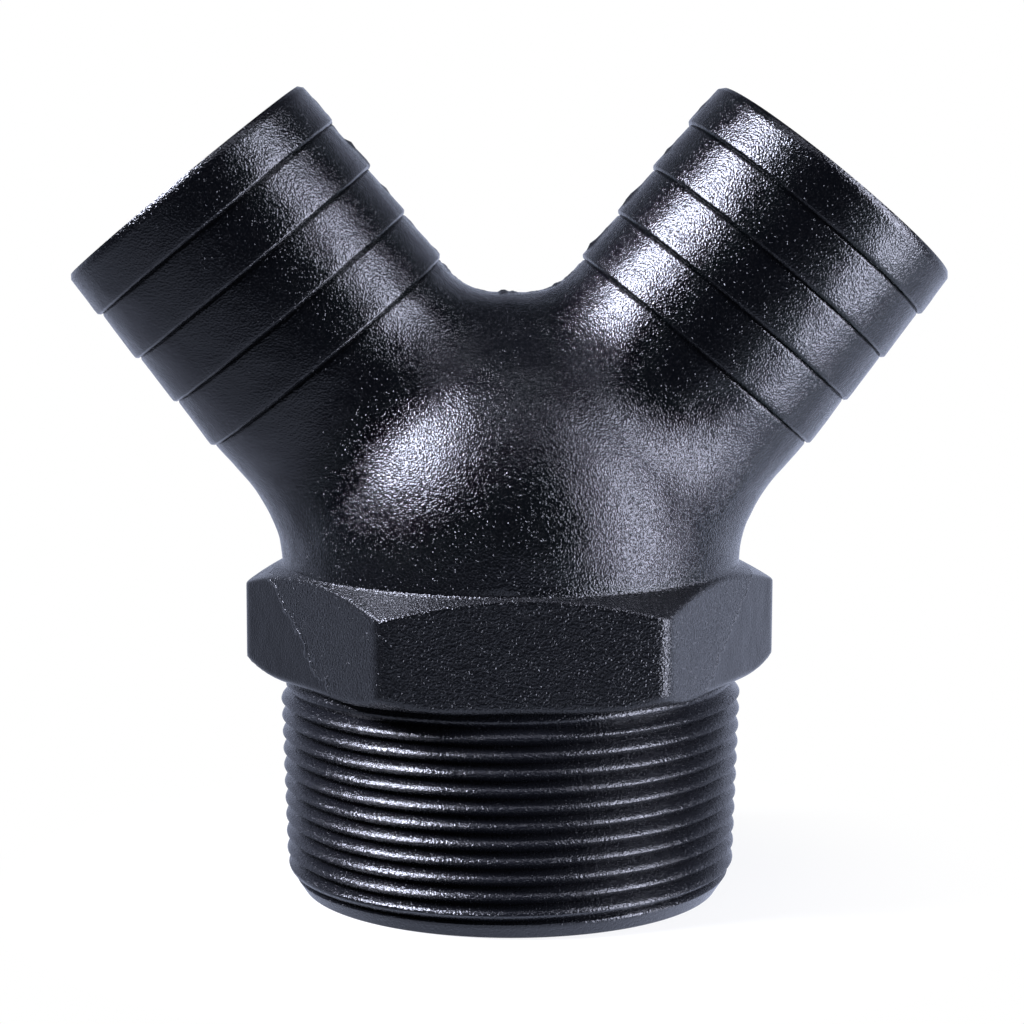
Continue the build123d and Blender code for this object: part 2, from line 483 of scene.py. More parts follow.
THREAD_FORMULA = (
    ("turn", "DIVIDE", "angle", FULL_TURN),
    ("from_crest", "SUBTRACT", "z", "Crest height"),
    ("turns_up", "DIVIDE", "from_crest", "Pitch"),
    ("phase", "SUBTRACT", "turns_up", "turn"),
    ("phase_angle", "MULTIPLY_ADD", "phase", FULL_TURN, math.pi),
    ("swing", "COSINE", "phase_angle"),
    ("sharp_swing", "MULTIPLY", "swing", "Sharpness"),
    ("bow", "ARCSINE", "sharp_swing"),
    ("bow_limit", "ARCSINE", "Sharpness"),
    ("wave", "DIVIDE", "bow", "bow_limit"),
    ("share_even", "MULTIPLY_ADD", "wave", 0.5, 0.5),
    ("share", "POWER", "share_even", "Fullness"),
    ("under_full", "SUBTRACT", "Full height", "z"),
    ("under_share", "DIVIDE", "under_full", "Fade"),
    ("strength_raw", "ADD", "under_share", 1.0),
    ("strength_low", "MAXIMUM", "strength_raw", 0.0),
    ("strength", "MINIMUM", "strength_low", 1.0),
    ("ridge", "MULTIPLY", "share", "strength"),
    ("crest_radius", "MULTIPLY_ADD", "z", "Taper", "End radius"),
    ("root_radius", "SUBTRACT", "crest_radius", "Depth"),
    ("turned", "MULTIPLY_ADD", "ridge", "Depth", "root_radius"),
    ("lead", "MULTIPLY_ADD", "z", "Lead slope", "Lead radius"),
    ("threaded", "SMOOTH_MIN", "turned", "lead", LEAD_BLEND),
    ("sector", "FLOORED_MODULO", "angle", FULL_TURN / HEX_SIDES),
    ("from_flat", "SUBTRACT", "sector", math.pi / HEX_SIDES),
    ("near", "ABSOLUTE", "from_flat"),
    ("far", "SUBTRACT", FULL_TURN / HEX_SIDES, "near"),
    ("near_cosine", "COSINE", "near"),
    ("far_cosine", "COSINE", "far"),
    ("near_reach", "DIVIDE", "Flats", "near_cosine"),
    ("far_reach", "DIVIDE", "Flats", "far_cosine"),
    ("hexagon", "SMOOTH_MIN", "near_reach", "far_reach", "Corner blend"),
    ("below_high", "SUBTRACT", "Cone height", "z"),
    ("cone_growth", "DIVIDE", "below_high", "Shoulder slope"),
    ("cone", "ADD", "cone_growth", "Corner"),
    ("shouldered", "SMOOTH_MIN", "hexagon", "cone", "Edge blend"),
    ("above_low", "SUBTRACT", "z", "Corner low"),
    ("under_growth", "DIVIDE", "above_low", "Underside slope"),
    ("under_cone", "ADD", "under_growth", "Corner"),
    ("coned", "SMOOTH_MIN", "shouldered", "under_cone", "Edge blend"),
    ("above_foot", "SUBTRACT", "z", "Foot"),
    ("foot_share", "DIVIDE", "above_foot", "Foot round"),
    ("foot_rest", "SUBTRACT", 1.0, "foot_share"),
    ("foot_lack", "MAXIMUM", "foot_rest", 0.0),
    ("foot_lack_capped", "MINIMUM", "foot_lack", 1.0),
    ("foot_square", "MULTIPLY", "foot_lack_capped", "foot_lack_capped"),
    ("foot_inside", "SUBTRACT", 1.0, "foot_square"),
    ("foot_root", "SQRT", "foot_inside"),
    ("foot_inset", "SUBTRACT", 1.0, "foot_root"),
    ("foot_drop", "MULTIPLY", "foot_inset", "Foot round"),
    ("rounded", "SUBTRACT", "coned", "foot_drop"),
    ("is_collar", "GREATER_THAN", "z", "Foot"),
    ("collar", "MULTIPLY", "rounded", "is_collar"),
    ("is_body", "GREATER_THAN", "z", "Cone height"),
    ("growth", "SUBTRACT", "Barrel", "threaded"),
    ("core", "MULTIPLY_ADD", "is_body", "growth", "threaded"),
    ("radius", "SMOOTH_MAX", "core", "collar", "Core blend"),
)

BARB_FORMULA = (
    ("from_first", "SUBTRACT", "First crest", "z"),
    ("bands_back", "DIVIDE", "from_first", "Pitch"),
    ("band_raw", "CEIL", "bands_back"),
    ("band", "MAXIMUM", "band_raw", 0.0),
    ("past_first", "SUBTRACT", "z", "First crest"),
    ("past_step", "MULTIPLY_ADD", "band", "Pitch", "past_first"),
    ("past_land_raw", "SUBTRACT", "past_step", "Land"),
    ("past_land", "MAXIMUM", "past_land_raw", 0.0),
    ("fall", "MULTIPLY", "past_land", "Fall slope"),
    ("edge_raw", "SUBTRACT", "Ease", "past_step"),
    ("edge", "SMOOTH_MAX", "edge_raw", 0.0, EDGE_BLEND),
    ("lip_raw", "SUBTRACT", "z", "Lip"),
    ("lip", "MAXIMUM", "lip_raw", 0.0),
    ("smaller", "MULTIPLY", "band", "Step down"),
    ("ring", "SUBTRACT", "Crest", "smaller"),
    ("sloped", "SUBTRACT", "ring", "fall"),
    ("eased", "SUBTRACT", "sloped", "edge"),
    ("toothed", "SUBTRACT", "eased", "lip"),
    ("to_next", "SUBTRACT", "Pitch", "past_step"),
    ("groove_share", "DIVIDE", "to_next", "Groove width"),
    ("groove_rest", "SUBTRACT", 1.0, "groove_share"),
    ("groove_raw", "MULTIPLY", "groove_rest", "Groove"),
    ("groove_full", "SMOOTH_MAX", "groove_raw", 0.0, GROOVE_BLEND),
    ("is_back", "LESS_THAN", "z", "First crest"),
    ("groove", "MULTIPLY", "groove_full", "is_back"),
    ("is_neck", "LESS_THAN", "z", "Neck end"),
    ("growth", "SUBTRACT", "Neck", "toothed"),
    ("smooth", "MULTIPLY_ADD", "is_neck", "growth", "toothed"),
    ("radius", "SUBTRACT", "smooth", "groove"),
)

CASTING_FORMULA = (
    ("is_skin", "LESS_THAN", "slot", 0.5),
    ("is_above", "GREATER_THAN", "z", "Lowest"),
    ("is_cast", "MULTIPLY", "is_skin", "is_above"),
    ("swing", "SUBTRACT", "slow", 0.5),
    ("uneven", "MULTIPLY", "swing", "Unevenness"),
    ("aside", "ABSOLUTE", "y"),
    ("is_seam", "LESS_THAN", "aside", SEAM_REACH),
    ("sideways", "ABSOLUTE", "x"),
    ("across", "MULTIPLY", "sideways", "Inner slope"),
    ("inner_height", "MULTIPLY_ADD", "across", 1.0, "Flash low"),
    ("is_inner", "GREATER_THAN", "z", "inner_height"),
    ("has_flash", "MULTIPLY", "is_seam", "is_inner"),
    ("ragged", "SUBTRACT", "fast", FLASH_SHARE),
    ("ragged_up", "MAXIMUM", "ragged", 0.0),
    ("ragged_height", "MULTIPLY", "ragged_up", "Flash"),
    ("flash", "MULTIPLY", "ragged_height", "has_flash"),
    ("height", "ADD", "uneven", "flash"),
    ("risen", "SUBTRACT", "z", "Flash low"),
    ("risen_along", "MULTIPLY", "risen", "Arm cosine"),
    ("along", "MULTIPLY_ADD", "sideways", "Arm sine", "risen_along"),
    ("to_mouth", "SUBTRACT", "Mouth", "along"),
    ("mouth_share", "DIVIDE", "to_mouth", "Mouth ease"),
    ("mouth_share_high", "MAXIMUM", "mouth_share", 0.0),
    ("calm", "MINIMUM", "mouth_share_high", 1.0),
    ("calmed", "MULTIPLY", "height", "calm"),
    ("height_on_skin", "MULTIPLY", "calmed", "is_cast"),
    ("shift", "MULTIPLY", "height_on_skin", MM),
)


def add_object(name: str, data: bpy.types.ID) -> bpy.types.Object:
    """Adds an object to the scene.

    Args:
        name: Its name.
        data: Its mesh, lamp or camera.

    Returns:
        The object.
    """
    made = bpy.data.objects.new(name, data)
    bpy.context.scene.collection.objects.link(made)
    return made


def bare_tree(owner: bpy.types.Material | bpy.types.World) -> Tree:
    """Empties the node tree of a material or world.

    Args:
        owner: The material or world.

    Returns:
        The tree.
    """
    owner.use_nodes = True
    owner.node_tree.nodes.clear()
    return owner.node_tree


def add_node(tree: Tree, kind: str, values: dict | None = None, **settings: object) -> bpy.types.Node:
    """Adds one node to a tree.

    Args:
        tree: The tree.
        kind: The node's type name.
        values: Values or sockets for its inputs, by name or number.
        settings: Properties of the node.

    Returns:
        The node.
    """
    node = tree.nodes.new(kind)
    for key, value in settings.items():
        setattr(node, key, value)
    for key, value in (values or {}).items():
        if isinstance(value, Socket):
            tree.links.new(value, node.inputs[key])
        else:
            node.inputs[key].default_value = value
    return node


def run_formula(tree: Tree, formula: Formula, known: dict[str, Socket]) -> None:
    """Adds a formula to a tree, one math node for each step.

    Args:
        tree: The tree.
        formula: Steps of (result, operation, values), a value being a number or a name that is known.
        known: Sockets by name, to which each step adds its result.
    """
    for result, operation, *values in formula:
        sockets = {i: known[v] if isinstance(v, str) else v for i, v in enumerate(values)}
        known[result] = add_node(tree, "ShaderNodeMath", sockets, operation=operation).outputs[0]


def open_tree(name: str, sizes: Sizes) -> tuple[Tree, dict[str, Socket]]:
    """Starts Geometry Nodes with a geometry and named numbers as inputs.

    Args:
        name: Name of the tree.
        sizes: The numbers by name.

    Returns:
        The tree, and the sockets of its inputs by name.
    """
    tree = bpy.data.node_groups.new(name, "GeometryNodeTree")
    tree.interface.new_socket("Geometry", in_out="INPUT", socket_type="NodeSocketGeometry")
    for label in sizes:
        tree.interface.new_socket(label, in_out="INPUT", socket_type="NodeSocketFloat")
    tree.interface.new_socket("Geometry", in_out="OUTPUT", socket_type="NodeSocketGeometry")
    entry = add_node(tree, "NodeGroupInput")
    return tree, {label: entry.outputs[label] for label in ("Geometry", *sizes)}


def close_tree(tree: Tree, geometry: Socket) -> None:
    """Ends a tree in Realize Instances and Set Material, with each slot's faces getting its finish.

    Args:
        tree: The tree.
        geometry: Socket of the geometry that it makes.
    """
    geometry = add_node(tree, "GeometryNodeRealizeInstances", {0: geometry}).outputs[0]
    number = add_node(tree, "GeometryNodeInputMaterialIndex").outputs[0]
    for slot in Slot:
        chosen = add_node(
            tree, "FunctionNodeCompare", {2: number, 3: slot.value}, data_type="INT", operation="EQUAL"
        ).outputs[0]
        finish = bpy.data.materials[FINISHES[slot].name]
        geometry = add_node(
            tree,
            "GeometryNodeSetMaterial",
            {"Geometry": geometry, "Selection": chosen, "Material": finish},
        ).outputs[0]
    add_node(tree, "NodeGroupOutput", {0: geometry})


def radius_tree(name: str, sizes: Sizes, formula: Formula) -> Tree:
    """Builds Geometry Nodes that give every point the radius round Z that a formula finds.

    Args:
        name: Name of the tree.
        sizes: The formula's sizes by name.
        formula: Steps that find "radius" from the sizes, "angle" and "z".

    Returns:
        The tree.
    """
    tree, known = open_tree(name, sizes)
    place = add_node(tree, "GeometryNodeInputPosition").outputs[0]
    parts = add_node(tree, "ShaderNodeSeparateXYZ", {0: place})
    known.update(x=parts.outputs["X"], y=parts.outputs["Y"], z=parts.outputs["Z"])
    run_formula(tree, (("angle", "ARCTAN2", "y", "x"), *formula), known)
    way = add_node(
        tree,
        "ShaderNodeVectorRotate",
        {"Vector": (1.0, 0.0, 0.0), "Angle": known["angle"]},
        rotation_type="Z_AXIS",
    ).outputs[0]
    spoke = add_node(tree, "ShaderNodeVectorMath", {0: way, "Scale": known["radius"]}, operation="SCALE")
    level = add_node(tree, "ShaderNodeCombineXYZ", {"Z": known["z"]})
    target = add_node(tree, "ShaderNodeVectorMath", {0: spoke.outputs[0], 1: level.outputs[0]})
    moved = add_node(
        tree, "GeometryNodeSetPosition", {"Geometry": known["Geometry"], "Position": target.outputs[0]}
    )
    close_tree(tree, moved.outputs[0])
    return tree


def casting_tree(sizes: Sizes) -> Tree:
    """Builds Geometry Nodes that give a smooth skin the unevenness and the parting flash of a casting.

    Only points above the threaded end whose faces all carry the outer skin's slot are moved.

    Args:
        sizes: The formula's sizes by name, in millimetres.

    Returns:
        The tree.
    """
    tree, known = open_tree("casting", sizes)
    place = add_node(tree, "GeometryNodeInputPosition").outputs[0]
    scaled = add_node(
        tree, "ShaderNodeVectorMath", {0: place, "Scale": 1 / MM}, operation="SCALE"
    ).outputs[0]
    parts = add_node(tree, "ShaderNodeSeparateXYZ", {0: scaled})
    known.update(x=parts.outputs["X"], y=parts.outputs["Y"], z=parts.outputs["Z"])
    known["slot"] = add_node(tree, "GeometryNodeInputMaterialIndex").outputs[0]
    for result, waves in (("slow", 1.0), ("fast", FLASH_WAVES)):
        run_formula(tree, (("scale", "DIVIDE", waves, "Wave"),), known)
        noise = add_node(
            tree,
            "ShaderNodeTexNoise",
            {"Vector": scaled, "W": known["Seed"], "Scale": known["scale"], "Detail": 2.0},
            noise_dimensions="4D",
        )
        known[result] = noise.outputs[0]
    run_formula(tree, CASTING_FORMULA, known)
    normal = add_node(tree, "GeometryNodeInputNormal").outputs[0]
    shift = add_node(tree, "ShaderNodeVectorMath", {0: normal, "Scale": known["shift"]}, operation="SCALE")
    moved = add_node(
        tree, "GeometryNodeSetPosition", {"Geometry": known["Geometry"], "Offset": shift.outputs[0]}
    )
    close_tree(tree, moved.outputs[0])
    return tree


def run_tree(tree: Tree, mesh: bpy.types.Mesh, sizes: Sizes) -> bpy.types.Mesh:
    """Runs Geometry Nodes on a mesh.

    Args:
        tree: The tree.
        mesh: The mesh, which is used up.
        sizes: The tree's inputs by name.

    Returns:
        The plain mesh that comes out.
    """
    holder = add_object(f"{tree.name}_holder", mesh)
    modifier = holder.modifiers.new(tree.name, "NODES")
    modifier.node_group = tree
    inputs = [item for item in tree.interface.items_tree if item.in_out == "INPUT"]
    sockets = {item.name: item.identifier for item in inputs}
    for label, size in sizes.items():
        modifier[sockets[label]] = size
    bpy.context.view_layer.update()
    made = holder.evaluated_get(bpy.context.evaluated_depsgraph_get())
    plain = bpy.data.meshes.new_from_object(made)
    bpy.data.objects.remove(holder)
    bpy.data.meshes.remove(mesh)
    return plain


def shape_grid(grid: np.ndarray, tree: Tree, sizes: Sizes) -> np.ndarray:
    """Moves a grid of points with Geometry Nodes.

    Args:
        grid: Array of rows by columns by 3.
        tree: The tree.
        sizes: The tree's inputs by name.

    Returns:
        The moved grid.
    """
    cloud = bpy.data.meshes.new("cloud")
    cloud.from_pydata(grid.reshape(-1, 3).tolist(), [], [])
    plain = run_tree(tree, cloud, sizes)
    moved = np.zeros(len(plain.vertices) * 3)
    plain.vertices.foreach_get("co", moved)
    bpy.data.meshes.remove(plain)
    return moved.reshape(grid.shape)


@dataclass
class Fitting:
    """The wye fitting's skin.

    Attributes:
        thread: Its thread.
        collar: Its wrench hexagon.
        barb: One of its two like barbs.
        outside: The body and necks.
        inside: The chamber and arm bores, its barrel being the inlet bore.
        edge_break: Size of the bores' broken edges.
        lip_break: Size of the mouth's eased outer edge.
        core_blend: How much the collar's foot and shoulder are eased into the core.
        helix_rows: Rows of faces for one turn of the thread.
        unevenness: Swing of the cast skin.
        wave: Length of its waves.
        lowest: How far above the collar's foot it starts.
        mouth_ease: Distance before the mouth over which it fades.
        flash: Height of the parting flash's ragged edge.
        seed: Seed of the noise for both.
        surface: The grids of the skin.
    """

    thread: Thread = Thread()
    collar: Collar = Collar()
    barb: Barb = Barb()
    outside: Junction = Junction(
        barrel=29.6, dome=46.0, tube=18.6, lean=39.4, meeting=41.1, bend=28.1, level=1.4, blend=14.5,
        start=43.0, end=36.8, rows=44,
    )
    inside: Junction = Junction(
        barrel=24.5, dome=46.0, tube=15.5, lean=39.4, meeting=41.1, bend=1.0, level=0.0, blend=1.0,
        start=30.0, end=45.0, rows=18,
    )
    edge_break: float = 0.8
    lip_break: float = 0.4
    core_blend: float = 0.5
    helix_rows: int = 8
    unevenness: float = 0.35
    wave: float = 5.0
    lowest: float = 0.5
    mouth_ease: float = 4.0
    flash: float = 1.5
    seed: float = 7.0
    surface: Surface = field(default_factory=Surface)

    def sleeve_sizes(self) -> Sizes:
        """Sizes of thread and collar, by their names in the formula."""
        thread, collar = self.thread, self.collar
        return {
            "Pitch": thread.pitch,
            "Crest height": thread.crest_height,
            "Sharpness": thread.sharpness,
            "Fullness": thread.fullness,
            "Full height": thread.full_height,
            "Fade": thread.fade,
            "Taper": thread.taper,
            "End radius": thread.end_radius,
            "Depth": thread.depth,
            "Lead slope": thread.lead_slope,
            "Lead radius": thread.lead_radius,
            "Flats": collar.flats,
            "Foot": collar.foot,
            "Foot round": collar.foot_round,
            "Corner low": collar.low,
            "Underside slope": math.tan(math.radians(collar.underside_slope)),
            "Corner": collar.corner,
            "Cone height": collar.high,
            "Shoulder slope": math.tan(math.radians(collar.shoulder_slope)),
            "Corner blend": collar.corner_blend,
            "Edge blend": collar.edge_blend,
            "Core blend": self.core_blend,
            "Barrel": self.outside.barrel,
        }

    def thread_rows(self) -> np.ndarray:
        """Finds the heights of the thread's points, whose rows follow the helix up to the collar.

        Returns:
            Array of rows by columns.
        """
        pitch, seat = self.thread.pitch, self.collar.foot - UNDERSIDE_GAP
        rows = math.ceil(seat / pitch + 2) * self.helix_rows
        turns = column_angles() / FULL_TURN
        heights = np.arange(rows)[:, None] * (pitch / self.helix_rows) + (turns[None] - 1) * pitch
        return np.clip(heights, 0, seat)

    def collar_rows(self) -> np.ndarray:
        """Finds the heights of the collar's points, up to the body.

        Returns:
            Array of rows by columns.
        """
        foot, flank = self.collar.foot, self.collar.foot + FOOT_RISES[-1]
        arch = self.collar.arch(column_angles())
        levels = [np.full(COLUMNS, foot + rise) for rise in (-UNDERSIDE_GAP, *FOOT_RISES)]
        levels += [flank + (arch - flank) * share for share in FLAT_SHARES]
        levels += [arch + (self.outside.start - arch) * share for share in SHOULDER_SHARES]
        return np.array(levels)

    def cylinder(self, heights: np.ndarray) -> np.ndarray:
        """Grid of points on the skin's columns at given heights."""
        angles = np.broadcast_to(column_angles(), heights.shape)
        return np.stack([np.cos(angles), np.sin(angles), heights], axis=-1) * CYLINDER_SIZE

    def bore_wall(self, radius: float, mouth: float, end: float, angles: np.ndarray) -> np.ndarray:
        """Finds the wall of a straight bore round Z, with a broken edge at its mouth.

        Args:
            radius: Radius of the bore.
            mouth: Height of its mouth.
            end: Height of its other end.
            angles: Angles of the columns.

        Returns:
            Grid of points, from the mouth to the end.
        """
        inward = math.copysign(self.edge_break, end - mouth)
        rings = (
            (radius + self.edge_break, mouth),
            (radius, mouth + inward),
            (radius, (mouth + end) / 2),
            (radius, end),
        )
        return np.stack([ring_points(wide, height, angles) for wide, height in rings])

    def add_thread_and_collar(self) -> None:
        """Adds the skin from the bottom face up to the body, with the inlet bore."""
        sizes = self.sleeve_sizes()
        tree = radius_tree("thread_and_collar", sizes, THREAD_FORMULA)
        helix = shape_grid(self.cylinder(self.thread_rows()), tree, sizes)
        self.surface.add_grid(helix, Slot.THREAD, self.helix_rows)
        hexagon = shape_grid(self.cylinder(self.collar_rows()), tree, sizes)
        self.surface.add_grid(hexagon[:-1], Slot.COLLAR)
        self.surface.add_grid(hexagon[-2:], Slot.SKIN)
        floor = shape_grid(self.cylinder(np.zeros((1, COLUMNS))), tree, sizes)
        bore = self.bore_wall(self.inside.barrel, 0, self.inside.start, column_angles())
        self.surface.add_grid(np.concatenate([floor, bore]), Slot.BORE)

    def add_junctions(self) -> None:
        """Adds the body with its necks, and the chamber with the starts of the arm bores."""
        for part, slot in ((self.outside, Slot.SKIN), (self.inside, Slot.BORE)):
            half = part.half_skin()
            self.surface.add_grid(half, slot)
            self.surface.add_grid(half * [-1, 1, 1], slot)

    def barb_rows(self) -> list[float]:
        """Finds the distances along the arm of the barb's rows, crowded at its steps.

        Returns:
            Distances from the neck to the mouth.
        """
        barb = self.barb
        rows = [self.outside.end]
        for band in reversed(range(barb.bands)):
            step = barb.mouth - barb.first_band - band * barb.pitch
            end = step + barb.pitch - barb.groove_width if band else barb.mouth - self.lip_break
            rows += list(step - barb.groove_width * np.array(GROOVE_SHARES))
            rows += list(step + barb.ease * np.array(EDGE_SHARES))
            rows += list(np.linspace(step + barb.land, end - BAND_END_GAP, BAND_ROWS))
        return rows + [barb.mouth]

    def barb_sizes(self) -> Sizes:
        """Sizes of a barb, by their names in the formula."""
        barb = self.barb
        return {
            "First crest": barb.mouth - barb.first_band,
            "Pitch": barb.pitch,
            "Land": barb.land,
            "Fall slope": barb.rise / (barb.pitch - barb.land),
            "Ease": barb.ease,
            "Lip": barb.mouth - self.lip_break,
            "Step down": barb.step_down,
            "Crest": barb.crest,
            "Neck": self.outside.tube,
            "Neck end": barb.last_crest + STEP_CLEARANCE,
            "Groove": barb.groove,
            "Groove width": barb.groove_width,
        }

    def on_arm(self, grid: np.ndarray, side: int) -> np.ndarray:
        """Lays a grid round Z round an arm.

        Args:
            grid: The grid, its X being the arm's outer side.
            side: 1 for the arm on the right, -1 for the left.

        Returns:
            The grid in place.
        """
        arm = self.outside
        axes = np.stack([arm.outward, [0, 1, 0], arm.axis])
        return (grid @ axes + [0, 0, arm.meeting]) * [side, 1, 1]

    def add_barbs(self) -> None:
        """Adds both barbs with their mouths and bores."""
        turns = column_turns()
        angles, heights = np.meshgrid(turns, self.barb_rows())
        sleeve = np.stack([np.cos(angles), np.sin(angles), heights], axis=-1)
        sizes = self.barb_sizes()
        outer = shape_grid(sleeve, radius_tree("barb", sizes, BARB_FORMULA), sizes)
        wall = self.bore_wall(self.inside.tube, self.barb.mouth, self.inside.end, turns)
        for side in (1, -1):
            self.surface.add_grid(self.on_arm(outer, side), Slot.SKIN)
            self.surface.add_grid(self.on_arm(np.concatenate([outer[-1:], wall]), side), Slot.BORE)

    def casting_sizes(self) -> Sizes:
        """Sizes of the unevenness and the flash, by their names in the formula."""
        return {
            "Unevenness": self.unevenness,
            "Wave": self.wave,
            "Flash": self.flash,
            "Flash low": self.outside.meeting,
            "Inner slope": 1 / math.tan(math.radians(self.outside.lean)),
            "Seed": self.seed,
            "Lowest": self.collar.foot + self.lowest,
            "Arm sine": float(self.outside.axis[0]),
            "Arm cosine": float(self.outside.axis[2]),
            "Mouth": self.barb.mouth - self.lip_break,
            "Mouth ease": self.mouth_ease,
        }

    def build(self) -> bpy.types.Object:
        """Makes the whole skin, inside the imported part's box.

        Returns:
            The finished piece.
        """
        self.add_thread_and_collar()
        self.add_junctions()
        self.add_barbs()
        sizes = self.casting_sizes()
        mesh = run_tree(casting_tree(sizes), self.surface.mesh("wye_skin"), sizes)
        low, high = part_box(NODE)
        places = np.zeros(len(mesh.vertices) * 3)
        mesh.vertices.foreach_get("co", places)
        mesh.vertices.foreach_set("co", np.clip(places.reshape(-1, 3), low, high).reshape(-1))
        mesh.polygons.foreach_set("use_smooth", [True] * len(mesh.polygons))
        mesh.set_sharp_from_angle(angle=math.radians(SHARP_ANGLE))
        LOG.info("wye_casting: %d triangles", sum(len(face.vertices) - 2 for face in mesh.polygons))
        return add_object("wye_casting", mesh)


def linear(colour: str) -> tuple[float, float, float, float]:
    """Scene colour of an sRGB hex code."""
    parts = [int(colour[i : i + 2], 16) / 255 for i in (1, 3, 5)]
    return (*[p / 12.92 if p <= 0.04045 else ((p + 0.055) / 1.055) ** 2.4 for p in parts], 1.0)


